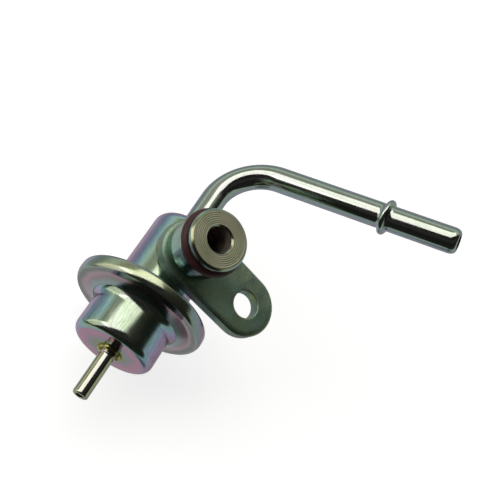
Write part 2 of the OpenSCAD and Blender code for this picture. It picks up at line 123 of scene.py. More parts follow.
class REGULATOR_Sizes(bpy.types.PropertyGroup):
    """Sizes of the regulator's pieces"""

    axis_drop: length("Axis drop", "From the plate's front face down to the can's axis", 12.55)
    plate_t: length("Plate thickness", "Thickness of the stamped plate", 3.4)
    plate_end_r: length("Plate end", "Radius of the plate's round end about the inlet", 8.5)
    lobe_r: length("Bolt lobe", "Radius of the plate's bolt lobe", 8.25)
    hole_r: length("Bolt hole", "Radius of the bolt hole", 3.5)
    bolt_reach: length("Bolt reach", "From the inlet's axis to the bolt hole, across the can", 19.2)
    bolt_offset: length("Bolt offset", "Offset of the bolt hole towards the nipple", 1.6)
    plate_roll_w: length("Plate roll width", "Width of the plate's rolled front edge", 1.4)
    plate_roll_h: length("Plate roll depth", "Depth of the plate's rolled front edge", 0.6)
    hole_roll_w: length("Hole roll width", "Width of the bolt hole's rolled front edge", 0.5)
    hole_roll_h: length("Hole roll depth", "Depth of the bolt hole's rolled front edge", 0.3)
    spigot_h: length("Spigot height", "Height of the spigot's end face above the plate", 13.2)
    spigot_r: length("Spigot lands", "Radius of the spigot's two lands", 7.7)
    bore_r: length("Fuel bore", "Radius of the fuel bore", 3.25)
    mouth: length("Bore mouth", "Chamfer at the mouth of the fuel bore", 0.45)
    chamfer: length("Spigot chamfer", "Chamfer on the spigot's end", 0.55)
    facing_pitch: length("Facing pitch", "From one facing ring on the spigot's end to the next", 0.5)
    facing_depth: length("Facing depth", "Depth of the facing rings", 0.05)
    relief_r: length("Relief", "Radius of the relief between the land and the plate", 6.9)
    relief_h: length("Relief height", "Height of the relief", 2.6)
    nose_len: length("Nose", "From the O-ring groove to the spigot's end face", 1.8)
    groove_w: length("Groove width", "Width of the O-ring groove", 3.6)
    groove_r: length("Groove", "Radius at the bottom of the O-ring groove", 6.0)
    shank_r: length("Shank", "Radius of the spigot's shank through the plate", 5.0)
    ring_cord: length("O-ring cord", "Thickness of the O-ring's cord", 2.5)
    can_r: length("Can", "Outer radius of the can", 9.65)
    can_wall: length("Can wall", "Wall of the can", 1.2)
    can_end: length("Can end", "From the inlet's axis to the can's closed end", 10.25)
    shoulder_r: length("Can shoulder", "Outer radius of the can's shoulder", 3.0)
    flange_fillet: length("Flange bend", "Radius of the bend from the can into its flange", 2.0)
    rim_r: length("Rim", "Radius of the crimped rim", 18.0)
    rim_back: length("Rim place", "From the inlet's axis to the face that the diaphragm lies on", 14.5)
    rim_wall: length("Rim wall", "Radial wall of the fold", 1.1)
    rim_back_r: length("Rim back", "Corner radius of the rim on the can's side", 1.6)
    rim_front_r: length("Rim front", "Radius of the rim's rolled front", 2.2)
    rim_front_w: length("Rim front width", "Width of the rolled front, up to its crisp edge", 1.5)
    lip_t: length("Lip", "Thickness of the folded lip", 0.9)
    lip_edge_r: length("Lip edge", "Radius of the lip's inner edge", 11.9)
    lip_flat_r: length("Lip flat", "Radius where the lip starts to slope", 15.0)
    lip_bend_r: length("Lip bend", "Radius of the bend where the lip starts to slope", 1.6)
    lip_rise: length("Lip rise", "Rise of the lip's sloping part", 1.2)
    cup_r: length("Cup", "Outer radius of the cover's cup", 10.85)
    cover_t: length("Cover sheet", "Sheet thickness of the cover", 1.0)
    cup_end: length("Cup end", "From the inlet's axis to the cup's end", 29.3)
    cup_corner_r: length("Cup corner", "Corner radius of the cup's end", 2.2)
    flare_len: length("Cup flare", "Length of the flare from the cup up to the lip's edge", 2.15)
    nipple_r: length("Nipple", "Radius of the vacuum nipple", 2.04)
    nipple_shank_r: length("Nipple shank", "Radius of the nipple's shank in the cover", 2.35)
    nipple_shank_h: length("Nipple shank height", "Height of the shank outside the cover", 1.5)
    nipple_tip_r: length("Nipple tip", "Radius of the round edge at the nipple's tip", 0.8)
    nipple_bore_r: length("Nipple bore", "Radius of the nipple's bore", 1.1)
    nipple_len: length("Nipple length", "Free length of the nipple", 13.2)
    nipple_braze_w: length("Nipple braze", "Width of the braze round the nipple", 0.38)
    tube_r: length("Tube", "Outer radius of the return tube", 3.55)
    tube_bore_r: length("Tube bore", "Radius of the tube's bore", 2.85)
    tube_braze_w: length("Tube braze", "Width of the braze round the tube", 0.7)
    tube_in: length("Tube inside", "From the inlet's axis to the tube's end in the can", 7.3)
    tube_lean: FloatProperty(name="Tube lean", description="Angle of the tube's long leg to the plate",
                             default=math.radians(41.2), subtype="ANGLE")
    bend_x: length("Bend place", "From the inlet's axis to the start of the bend", 23.0)
    bend_r: length("Bend", "Bend radius at the tube's centre line", 13.6)
    bead_run: length("Bead place", "From the bend to the bead's middle", 31.4)
    hose_run: length("Hose length", "From the bead's middle to the tube's end", 19.9)
    bead_r: length("Bead", "Radius of the bead that holds the hose", 4.9)
    bead_w: length("Bead width", "Width of the bead", 1.9)
    bead_skew: length("Bead skew", "How far the bead leans along the tube at its edge", 0.37)
    bend_flat: FloatProperty(name="Bend flat", description="Share that the bend's outer side is flattened by",
                             default=0.08, subtype="FACTOR")
    tube_end_len: length("Tube end", "Length of the tube's rolled end", 2.0)
    tube_end_in: length("Tube end roll", "How far the tube's end is rolled in", 1.2)
    valve_lift: length("Valve lift", "Travel of the diaphragm valve", 0.6)
    diaphragm_t: length("Diaphragm", "Thickness of the diaphragm at its clamped edge", 0.6)
    roll_in_r: length("Roll inside", "Radius where the diaphragm's roll starts", 8.5)
    roll_out_r: length("Roll outside", "Radius where the diaphragm's roll ends", 11.3)


class REGULATOR_Finishes(bpy.types.PropertyGroup):
    """Colours of the regulator's finishes"""

    rubber: colour("O-ring rubber", "Dark red-brown fuel resistant rubber", "#4a2a28")
    floor: colour("Floor", "Pale floor", "#f4f4f2")


def sizes():
    """The sizes in use."""
    return bpy.context.scene.regulator_sizes


def finishes():
    """The colours in use."""
    return bpy.context.scene.regulator_finishes


# Shapes

def rounded(corners, steps=FILLET_STEPS):
    """Closed profile of (along, radius) points from corners (along, radius, fillet)."""
    points = []
    for i, (x, r, fillet) in enumerate(corners):
        here = Vector((x, r))
        back = Vector(corners[i - 1][:2]) - here
        ahead = Vector(corners[(i + 1) % len(corners)][:2]) - here
        turn = back.angle(ahead)
        if fillet <= 0 or turn > math.pi - 0.01:
            points.append((x, r))
            continue
        reach = min(fillet / math.tan(turn / 2), 0.49 * back.length, 0.49 * ahead.length)
        radius = reach * math.tan(turn / 2)
        back.normalize()
        ahead.normalize()
        middle = here + (back + ahead).normalized() * radius / math.sin(turn / 2)
        first = here + back * reach - middle
        sweep = first.angle_signed(here + ahead * reach - middle)
        for k in range(steps + 1):
            a = -sweep * k / steps
            points.append((middle.x + first.x * math.cos(a) - first.y * math.sin(a),
                           middle.y + first.x * math.sin(a) + first.y * math.cos(a)))
    return points


def skin(bm, rings, closed=True):
    """Joins rings of vertices with quads, and the last ring with the first where they close."""
    count = len(rings[0])
    pairs = list(zip(rings, rings[1:])) + ([(rings[-1], rings[0])] if closed else [])
    for a, b in pairs:
        for k in range(count):
            m = (k + 1) % count
            bm.faces.new((a[k], a[m], b[m], b[k]))


def piece(name, bm, materials, body, *nodes, slot=None):
    """Makes an object from a mesh, which rides on a body and stands for CAD nodes. A piece that bends
    between two bodies has no body here."""
    bmesh.ops.recalc_face_normals(bm, faces=bm.faces)
    mesh = bpy.data.meshes.new(name)
    bm.to_mesh(mesh)
    bm.free()
    mesh.shade_smooth()
    mesh.set_sharp_from_angle(angle=SHARP)
    for material in materials:
        mesh.materials.append(material)
    obj = bpy.data.objects.new(name, mesh)
    bpy.context.collection.objects.link(obj)
    if body:
        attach(obj, body)
    if nodes:
        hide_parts(*nodes)
    return obj


def turned(profile, place, steps=TURN_STEPS, shape=None):
    """Mesh of a closed (along, radius) profile, turned about the Z axis of place. shape can change a point's
    radius and its place along the axis with the angle."""
    bm = bmesh.new()
    rings = []
    for along, radius in profile:
        ring = []
        for k in range(steps):
            a = 2 * math.pi * k / steps
            r, z = shape(along, radius, a) if shape else (radius, along)
            ring.append(bm.verts.new(place @ Vector((r * math.cos(a), r * math.sin(a), z))))
        rings.append(ring)
    skin(bm, rings)
    return bm


def can_axis():
    """Place of a piece that is turned about the can's axis, along +X."""
    return Matrix.Translation((0, 0, -sizes().axis_drop)) @ Matrix.Rotation(math.pi / 2, 4, "Y")


# Finishes

def feed(tree, node, links):
    """Gives each of a node's inputs its value, or the socket or node that feeds it."""
    for key, value in links.items():
        if isinstance(value, bpy.types.Node):
            value = next(socket for socket in value.outputs if socket.enabled)
        if isinstance(value, bpy.types.NodeSocket):
            tree.links.new(value, node.inputs[key])
        else:
            node.inputs[key].default_value = value


def add(tree, kind, links=None, stops=(), **settings):
    """Adds a node with its settings and links, and a colour ramp's stops of (place, hex code)."""
    made = tree.nodes.new("ShaderNode" + kind)
    for key, value in settings.items():
        setattr(made, key, value)
    feed(tree, made, links or {})
    if stops:
        spots = made.color_ramp.elements
        while len(spots) < len(stops):
            spots.new(0.5)
        for spot, (place, code) in zip(spots, stops):
            spot.position = place
            spot.color = linear(code)
    return made


def surface(name):
    """New material with its node tree, its principled shader and its coordinates."""
    material = bpy.data.materials.new(name)
    material.use_nodes = True
    tree = material.node_tree
    return material, tree, tree.nodes["Principled BSDF"], add(tree, "TexCoord").outputs


# Direction towards the camera: the chromate film is painted straw where a surface faces it and turns green,
# blue and pink away from it, a painted iridescent sheen fixed to this view
FILM_SHEEN_TO_CAMERA = (-0.461, 0.244, 0.853)
# The same direction, tilted towards +Y, for the painted sheen on the cup and the rim
FILM_SHEEN_LEANED = (-0.460, 0.338, 0.821)
# Thin chromate film over zinc on drawn steel, from edge-on to face-on to the camera: its own colours with a
# painted sheen, and a painted highlight tint face-on
FILM_SHEEN_DRAWN = ((0.0, "#a39ca0"), (0.15, "#a898a3"), (0.28, "#af96ad"), (0.38, "#b6a2c0"), (0.47, "#b6b0d0"),
              (0.56, "#a3bccf"), (0.65, "#9cc4c8"), (0.74, "#a9c8b2"), (0.83, "#b9cba6"), (0.92, "#c8d6be"),
              (1.0, "#d4d9cc"))
# The same film where it is thinner, on the tube, with its painted sheen and painted highlight tint
FILM_SHEEN_TUBE = ((0.0, "#a8a8b0"), (0.2, "#a6acb8"), (0.4, "#a3b0ba"), (0.55, "#a2b8b6"), (0.68, "#a6bcac"),
             (0.8, "#b8c6ae"), (0.9, "#d0d4c8"), (1.0, "#d8d8d2"))
# The same film where it is duller, on the folded rim, with its painted sheen and painted highlight tint
FILM_SHEEN_RIM = ((0.0, "#a39ca0"), (0.15, "#a898a3"), (0.28, "#af96ad"), (0.4, "#a5a3b4"), (0.52, "#9bb0b4"),
            (0.64, "#98b2a2"), (0.76, "#acba98"), (0.86, "#bcc49e"), (0.94, "#c8d0b2"), (1.0, "#d2d6c2"))
# Thicker and olive on the plate and the turned spigot, and straw coloured on the nipple, each with a painted
# sheen and a painted highlight tint face-on; the spigot's is painted darker edge-on, as painted shade
FILM_SHEEN_PLATE = ((0.0, "#9aa9a0"), (0.25, "#98ae9f"), (0.5, "#88a492"), (0.6, "#a4ae76"), (0.68, "#93aa84"),
              (0.8, "#90ad96"), (0.87, "#98b59d"), (0.94, "#b0c4a4"), (1.0, "#d2dcb8"))
FILM_SHEEN_SPIGOT = ((0.0, "#7c7a6c"), (0.2, "#76866f"), (0.36, "#a0c2ae"), (0.55, "#97b9b0"), (0.75, "#9faf8e"),
               (0.9, "#a5a483"), (1.0, "#a29d80"))
FILM_SHEEN_NIPPLE = ((0.0, "#a9b5a6"), (0.3, "#a0b4a6"), (0.5, "#adb793"), (0.7, "#c6c898"), (0.85, "#d6d5c2"),
               (1.0, "#dad9d2"))
# Rings of colour on the folded lip, from its inner edge to the rim: partly the film, partly a painted
# reflection of the lip's curved faces
FILM_SHEEN_LIP = ((0.0, "#9fb0ae"), (0.13, "#9eb6b4"), (0.27, "#9fa6a6"), (0.4, "#aa989d"), (0.57, "#bda6ae"),
            (0.66, "#a9a6a6"), (0.77, "#8f9490"), (0.87, "#8d9791"), (1.0, "#a5b0aa"))
# Rings of film on the cup's end, from the nipple outwards
FILM_END = ((0.0, "#8f9a62"), (0.2, "#98a68a"), (0.33, "#9aa3a6"), (0.5, "#b79aac"), (0.7, "#c99cb0"),
            (1.0, "#b8a0b8"))


def plated_steel(name, film, rough, patch_mm, drift, mark_mm=0.4, stretch=(1, 1, 1), depth_mm=0.012,
                 contrast=0.12, face=FILM_SHEEN_TO_CAMERA, span=None, slope_mm=0.0):
    """Zinc plated steel under an iridescent chromate film: bright metal whose tint is painted by how far the
    surface faces the direction face, as a painted sheen with a painted highlight tint and painted shade, or
    goes in rings about the can's axis over a span of radii, with cloudy patches of film and fine drawing or
    turning marks. The marks are drawn coarser than real ones, so that they show.

    drift is how far a patch moves the film along its ramp, and slope_mm is how far each mm along +X does.
    stretch, depth_mm and contrast belong to the marks."""
    material, tree, shader, coords = surface(name)
    if span:
        about = add(tree, "Mapping", {"Vector": coords["Object"], "Scale": (0, 1, 1),
                                      "Location": (0, 0, sizes().axis_drop)})
        far = add(tree, "VectorMath", {0: about}, operation="LENGTH")
        turn = add(tree, "MapRange", {"Value": far, "From Min": span[0], "From Max": span[1]})
    else:
        # Painted sheen: the film's colour turns with the surface's angle to face, a direction towards the
        # camera, and not with the lamps
        facing = add(tree, "VectorMath", {0: coords["Normal"], 1: face}, operation="DOT_PRODUCT")
        turn = add(tree, "Math", {0: facing}, operation="ABSOLUTE")
    if slope_mm:
        slope = add(tree, "VectorMath", {0: coords["Object"], 1: (slope_mm / MM, 0, 0)},
                    operation="DOT_PRODUCT")
        turn = add(tree, "Math", {0: turn, 1: slope}, operation="ADD")
    patch = add(tree, "TexNoise", {"Vector": coords["Object"], "Scale": 1 / (patch_mm * MM), "Detail": 4.0,
                                   "Roughness": 0.55, "Distortion": 0.6})
    shift = add(tree, "MapRange", {"Value": patch, "From Min": 0.25, "From Max": 0.75, "To Min": -drift,
                                   "To Max": drift})
    film_at = add(tree, "Math", {0: turn, 1: shift}, operation="ADD", use_clamp=True)
    tint = add(tree, "ValToRGB", {0: film_at}, film)
    stretched = add(tree, "Mapping", {"Vector": coords["Object"], "Scale": stretch})
    drawn = add(tree, "TexNoise", {"Vector": stretched, "Scale": 1 / (mark_mm * MM), "Detail": 3.0,
                                   "Roughness": 0.6})
    shade = add(tree, "MapRange", {"Value": drawn, "From Min": 0.3, "From Max": 0.7, "To Min": 1 - contrast,
                                   "To Max": 1 + contrast / 2})
    toned = add(tree, "VectorMath", {0: tint, "Scale": shade}, operation="SCALE")
    gloss = add(tree, "MapRange", {"Value": patch, "From Min": 0.3, "From Max": 0.7, "To Min": rough * 0.8,
                                   "To Max": rough * 1.25})
    bump = add(tree, "Bump", {"Height": drawn, "Strength": 0.5, "Distance": depth_mm * MM})
    feed(tree, shader, {"Base Color": toned, "Roughness": gloss, "Normal": bump, "Metallic": 1.0,
                        "Specular Tint": linear("#ece6ea")})
    return material


def oily_inside(place):
    """Unplated steel inside the can or the spigot, dark with fuel varnish: dull brown, with little shine."""
    return plain_metal("Varnished inside of the " + place, "#5c4c48", "#948a7e", rough=0.4, grain_mm=2.0,
                       metallic=0.1)


# A ring pattern of scale 1 repeats every 0.314 m
RING_REPEAT = 0.314


def faced_steel():
    """Turned end face under an olive chromate film: matt, with the facing tool's pale rings."""
    material, tree, shader, coords = surface("Olive chromated faced steel")
    rings = add(tree, "TexWave", {"Vector": coords["Object"], "Distortion": 0.6, "Detail": 1.0,
                                  "Scale": RING_REPEAT / sizes().facing_pitch},
                wave_type="RINGS", rings_direction="Z")
    patch = add(tree, "TexNoise", {"Vector": coords["Object"], "Scale": 1 / (5 * MM), "Detail": 4.0})
    mixed = add(tree, "Math", {0: rings.outputs["Fac"], 1: 0.55, 2: patch}, operation="MULTIPLY_ADD")
    tint = add(tree, "ValToRGB", {0: mixed},
               ((0.3, "#9aab84"), (0.6, "#b9c098"), (0.85, "#cfcaa6"), (1.0, "#dad5ba")))
    bump = add(tree, "Bump", {"Height": rings.outputs["Fac"], "Strength": 0.6,
                              "Distance": sizes().facing_depth})
    feed(tree, shader, {"Base Color": tint, "Normal": bump, "Metallic": 1.0, "Roughness": 0.42})
    return material


def ring_rubber():
    """Moulded fluorocarbon rubber with a film of oil: dark red-brown and softly glossy. Its moulded grain is
    drawn coarser than a real one, so that it shows."""
    material, tree, shader, coords = surface("Moulded red-brown rubber")
    cloud = add(tree, "TexNoise", {"Vector": coords["Object"], "Scale": 1 / (2.5 * MM), "Detail": 3.0})
    base = finishes().rubber
    dark = [c * 0.75 for c in base] + [1.0]
    light = [min(1, c * 1.3) for c in base] + [1.0]
    tint = add(tree, "Mix", {0: cloud, 6: dark, 7: light}, data_type="RGBA")
    grain = add(tree, "TexNoise", {"Vector": coords["Object"], "Scale": 1 / (0.25 * MM)})
    bump = add(tree, "Bump", {"Height": grain, "Strength": 0.3, "Distance": 0.02 * MM})
    feed(tree, shader, {"Base Color": tint.outputs[2], "Normal": bump, "Roughness": 0.42, "IOR": 1.4})
    return material


def braze_metal():
    """Brass filler under the chromate film: gold, lumpy and softly bright."""
    material, tree, shader, coords = surface("Chromated brass braze")
    cloud = add(tree, "TexNoise", {"Vector": coords["Object"], "Scale": 1 / (1.2 * MM), "Detail": 4.0})
    tint = add(tree, "ValToRGB", {0: cloud},
               ((0.3, "#8f8c46"), (0.48, "#b8b060"), (0.6, "#d0c880"), (0.72, "#aebd88")))
    bump = add(tree, "Bump", {"Height": cloud, "Strength": 0.4, "Distance": 0.06 * MM})
    feed(tree, shader, {"Base Color": tint, "Normal": bump, "Metallic": 1.0, "Roughness": 0.3})
    return material


def plain_metal(name, dark, light, rough, grain_mm, metallic=1.0):
    """Turned, ground or drawn metal: one even colour with a faint grain from dark to light."""
    material, tree, shader, coords = surface(name)
    grain = add(tree, "TexNoise", {"Vector": coords["Object"], "Scale": 1 / (grain_mm * MM), "Detail": 3.0})
    tint = add(tree, "ValToRGB", {0: grain}, ((0.35, dark), (0.65, light)))
    feed(tree, shader, {"Base Color": tint, "Metallic": metallic, "Roughness": rough})
    return material


def cloth_rubber():
    """Rubber on cloth: black and matt, with the cloth's weave showing through."""
    material, tree, shader, coords = surface("Cloth backed rubber")
    weave = add(tree, "TexChecker", {"Vector": coords["Object"], "Color1": linear("#1c1c1d"),
                                     "Color2": linear("#26262a"), "Scale": 1 / (0.4 * MM)})
    feed(tree, shader, {"Base Color": weave.outputs["Color"], "Roughness": 0.7})
    return material


def retake(node, name, material, body=None):
    """Copies a CAD node's own shape into a piece that can change its shape."""
    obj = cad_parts[node]
    bm = bmesh.new()
    bm.from_mesh(obj.data)
    bm.transform(obj.matrix_world)
    bmesh.ops.remove_doubles(bm, verts=bm.verts, dist=0.001 * MM)
    return piece(name, bm, [material], body, node)


def dress(material, *nodes):
    """Gives a finish to CAD nodes that keep their own shape."""
    for node in nodes:
        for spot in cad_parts[node].material_slots:
            spot.material = material


# Pieces

class REGULATOR_OT_can(bpy.types.Operator):
    """Deep drawn can with its flange and the rim that is folded over the cover"""

    bl_idname = "regulator.can"
    bl_label = "Fuel chamber can"

    def execute(self, context):
        s = sizes()
        seat = -s.rim_back
        back = seat + s.can_wall
        lip_in = seat - s.diaphragm_t - s.cover_t - PLAY
        front = lip_in - s.lip_t
        inner_r = s.can_r - s.can_wall
        end_in = s.can_end - s.can_wall
        fold_r = s.rim_r - s.rim_wall
        hole_r = s.tube_r + SLIP
        roll = []
        reach = math.asin(s.rim_front_w / s.rim_front_r)
        for k in range(ROLL_STEPS + 1):
            a = reach * k / ROLL_STEPS
            roll.append((front + s.rim_front_w - s.rim_front_r * math.sin(a),
                         s.rim_r - s.rim_front_r * (1 - math.cos(a)), CREASE if k == ROLL_STEPS else 0))
        profile = rounded([
            (s.can_end, hole_r, SOFT),
            (s.can_end, s.can_r, s.shoulder_r),
            (back, s.can_r, s.flange_fillet),
            (back, s.rim_r, s.rim_back_r),
            *roll,
            (front, s.lip_flat_r, s.lip_bend_r),
            (front - s.lip_rise, s.lip_edge_r, FINE),
            (lip_in - s.lip_rise, s.lip_edge_r, SOFT),
            (lip_in, s.lip_flat_r, s.lip_bend_r / 2),
            (lip_in, fold_r, CUT),
            (seat, fold_r, CUT),
            (seat, inner_r, s.flange_fillet + s.can_wall),
            (end_in, inner_r, s.shoulder_r - s.can_wall),
            (end_in, hole_r, CRISP),
        ])
        bm = turned(profile, can_axis())
        # The side under the plate is pressed flat
        flat_half = s.lobe_r + s.bolt_offset
        for v in bm.verts:
            if v.co.z > -s.plate_t and abs(v.co.x) < flat_half:
                v.co.z = -s.plate_t
        body = plated_steel("Iridescent zinc plated drawn steel", FILM_SHEEN_DRAWN, rough=0.14, patch_mm=9.0,
                            drift=0.09, mark_mm=0.5, stretch=(0.25, 1, 1))
        rim = plated_steel("Iridescent zinc plated rim", FILM_SHEEN_RIM, rough=0.19, patch_mm=7.0, drift=0.09,
                           stretch=(1, 0.6, 0.6), face=FILM_SHEEN_LEANED)
        # The lip's rings of film and painted reflection end where the rim's roll begins
        film_out_r = s.rim_r - 0.6 * MM
        lip = plated_steel("Iridescent zinc plated lip", FILM_SHEEN_LIP, rough=0.15, patch_mm=6.0, drift=0.1,
                           span=(s.lip_edge_r, film_out_r))
        for face in bm.faces:
            spot = face.calc_center_median()
            r = math.hypot(spot.y, spot.z + s.axis_drop)
            if r < inner_r + 2 * TOUCH and seat < spot.x < end_in + 2 * TOUCH:
                face.material_index = 3
            elif spot.x < front + TOUCH:
                face.material_index = 2
            elif r > s.can_r + s.flange_fillet:
                face.material_index = 1
        piece("can", bm, (body, rim, lip, oily_inside("can")), "base", "fuel_chamber_can", slot="can_steel")
        return {"FINISHED"}


class REGULATOR_OT_cover(bpy.types.Operator):
    """Drawn cover that holds the spring"""

    bl_idname = "regulator.cover"
    bl_label = "Spring cover"

    def execute(self, context):
        s = sizes()
        back = -s.rim_back - s.diaphragm_t
        face = back - s.cover_t
        slope = s.lip_rise / (s.lip_flat_r - s.lip_edge_r)
        top_r = s.lip_edge_r - PLAY
        # The flare starts just under the lip's edge
        top = face - s.lip_t - s.lip_rise + 0.1 * MM
        swing = 2 * math.atan2(top_r - s.cup_r, s.flare_len)
        flare_r = s.flare_len / math.sin(swing)
        flare = []
        for k in range(ROLL_STEPS + 1):
            a = swing * (1 - k / ROLL_STEPS)
            along = top - s.flare_len + flare_r * math.sin(a)
            flare.append((along, s.cup_r + flare_r * (1 - math.cos(a)), 0))
        # The cover's edge stands clear of the fold
        edge_r = s.rim_r - s.rim_wall - 0.2 * MM
        bend_r = 0.6 * MM
        in_r = s.cup_r - s.cover_t
        hole_r = s.nipple_shank_r + SLIP
        end_in = -s.cup_end + s.cover_t
        profile = rounded([
            (back, edge_r, 0),
            (face, edge_r, SOFT),
            (face, s.lip_flat_r, bend_r),
            (face - slope * (s.lip_flat_r - top_r), top_r, 0),
            *flare,
            (-s.cup_end, s.cup_r, s.cup_corner_r),
            (-s.cup_end, hole_r, CRISP),
            (end_in, hole_r, 0),
            (end_in, in_r, s.cup_corner_r - s.cover_t),
            (back - slope * (s.lip_flat_r - in_r), in_r, flare_r + s.cover_t),
            (back, s.lip_flat_r, 0),
        ])
        side = plated_steel("Iridescent zinc plated cup", FILM_SHEEN_DRAWN, rough=0.17, patch_mm=7.0, drift=0.1,
                            mark_mm=0.26, stretch=(0.1, 1, 1), depth_mm=0.008, contrast=0.3,
                            face=FILM_SHEEN_LEANED)
        end = plated_steel("Iridescent zinc plated cup end", FILM_END, rough=0.14, patch_mm=4.0, drift=0.14,
                           contrast=0.1, span=(hole_r, s.cup_r))
        bm = turned(profile, can_axis())
        for face in bm.faces:
            if face.calc_center_median().x < TOUCH - s.cup_end:
                face.material_index = 1
        piece("cover", bm, (side, end), "base", "spring_cover", slot="cover_steel")
        return {"FINISHED"}


class REGULATOR_OT_nipple(bpy.types.Operator):
    """Straight nipple for the vacuum hose"""

    bl_idname = "regulator.nipple"
    bl_label = "Vacuum nipple"

    def execute(self, context):
        s = sizes()
        tip = -s.cup_end - s.nipple_len
        inside = -s.cup_end + s.cover_t
        step = -s.cup_end - s.nipple_shank_h
        profile = rounded([
            (inside, s.nipple_bore_r, CRISP),
            (inside, s.nipple_shank_r, CRISP),
            (step, s.nipple_shank_r, SOFT),
            (step, s.nipple_r, SOFT),
            (tip, s.nipple_r, s.nipple_tip_r),
            (tip, s.nipple_bore_r, CUT),
        ])
        bm = turned(profile, can_axis(), SMALL_STEPS)
        material = plated_steel("Straw chromated nipple", FILM_SHEEN_NIPPLE, rough=0.1, patch_mm=5.0, drift=0.06,
                                mark_mm=0.3, stretch=(0.12, 1, 1), depth_mm=0.01, contrast=0.2)
        piece("nipple", bm, [material], "base", "vacuum_nipple", slot="nipple_steel")
        return {"FINISHED"}


class REGULATOR_OT_spigot(bpy.types.Operator):
    """Turned inlet with two lands, an O-ring groove and fine turning rings on its end face"""

    bl_idname = "regulator.spigot"
    bl_label = "Inlet spigot"

    def execute(self, context):
        s = sizes()
        edge = s.chamfer / 2
        low = -s.plate_t - s.can_wall - SLIP
        groove_top = s.spigot_h - s.nose_len
        groove = groove_top - s.groove_w
        face_r = s.spigot_r - s.chamfer
        mouth_r = s.bore_r + s.mouth
        corners = [
            (low, s.bore_r, 0), (low, s.shank_r, 0), (0, s.shank_r, 0), (0, s.relief_r, 0),
            (s.relief_h, s.relief_r, FINE), (s.relief_h, s.spigot_r - edge, FINE),
            (s.relief_h + edge, s.spigot_r, FINE), (groove - edge, s.spigot_r, FINE),
            (groove, s.spigot_r - edge, FINE), (groove, s.groove_r, FINE),
            (groove_top, s.groove_r, FINE), (groove_top, s.spigot_r, FINE),
            (s.spigot_h - s.chamfer, s.spigot_r, FINE), (s.spigot_h, face_r, FINE),
        ]
        # Rings that the facing tool left
        r = face_r - s.facing_pitch
        while r > mouth_r + s.facing_pitch:
            corners.append((s.spigot_h, r, 0))
            corners.append((s.spigot_h - s.facing_depth, r - s.facing_pitch / 2, 0))
            r -= s.facing_pitch
        corners += [(s.spigot_h, mouth_r, FINE), (s.spigot_h - s.mouth, s.bore_r, FINE)]
        material = plated_steel("Olive chromated turned steel", FILM_SHEEN_SPIGOT, rough=0.2, patch_mm=6.0,
                                drift=0.06, mark_mm=0.3, stretch=(1, 1, 0.3), depth_mm=0.01, contrast=0.1)
        bm = turned(rounded(corners, FILLET_STEPS // 2), Matrix())
        for face in bm.faces:
            spot = face.calc_center_median()
            r = math.hypot(spot.x, spot.y)
            if r < s.bore_r + PLAY and spot.z < s.spigot_h - s.mouth - FINE:
                face.material_index = 1
            elif spot.z > s.spigot_h - 1.5 * s.facing_depth and mouth_r < r < face_r:
                face.material_index = 2
        piece("spigot", bm, (material, oily_inside("spigot"), faced_steel()), "base", "inlet_spigot",
              slot="spigot_steel")
        return {"FINISHED"}


class REGULATOR_OT_ring(bpy.types.Operator):
    """Rubber ring in the spigot's groove"""

    bl_idname = "regulator.ring"
    bl_label = "O-ring"

    def execute(self, context):
        s = sizes()
        cord = s.ring_cord / 2
        middle_r = s.groove_r + SLIP + cord
        middle_z = s.spigot_h - s.nose_len - s.groove_w / 2
        steps = 40
        profile = []
        for k in range(steps):
            a = 2 * math.pi * k / steps
            profile.append((middle_z + cord * math.sin(a), middle_r + cord * math.cos(a)))
        piece("ring", turned(profile, Matrix()), [ring_rubber()], "base", "o_ring", slot="ring_rubber")
        return {"FINISHED"}


def lobe_middle():
    """Middle of the plate's bolt lobe."""
    s = sizes()
    return Vector((-s.bolt_offset, -s.bolt_reach))


def arc(middle, r, first, last, count):
    """Points on an arc from one angle to another, in count steps."""
    angles = (first + (last - first) * k / count for k in range(count + 1))
    return [middle + Vector((math.cos(a), math.sin(a))) * r for a in angles]


def plate_outline(inset):
    """Outline of the plate, moved inwards by inset: its round end about the inlet and its bolt lobe."""
    s = sizes()
    lobe = lobe_middle()
    heading = math.atan2(lobe.y, lobe.x)
    side = math.acos((s.plate_end_r - s.lobe_r) / lobe.length)
    steps = 60
    points = arc(Vector((0, 0)), s.plate_end_r - inset, heading + side, heading + 2 * math.pi - side, steps)
    return points + arc(lobe, s.lobe_r - inset, heading - side, heading + side, steps)


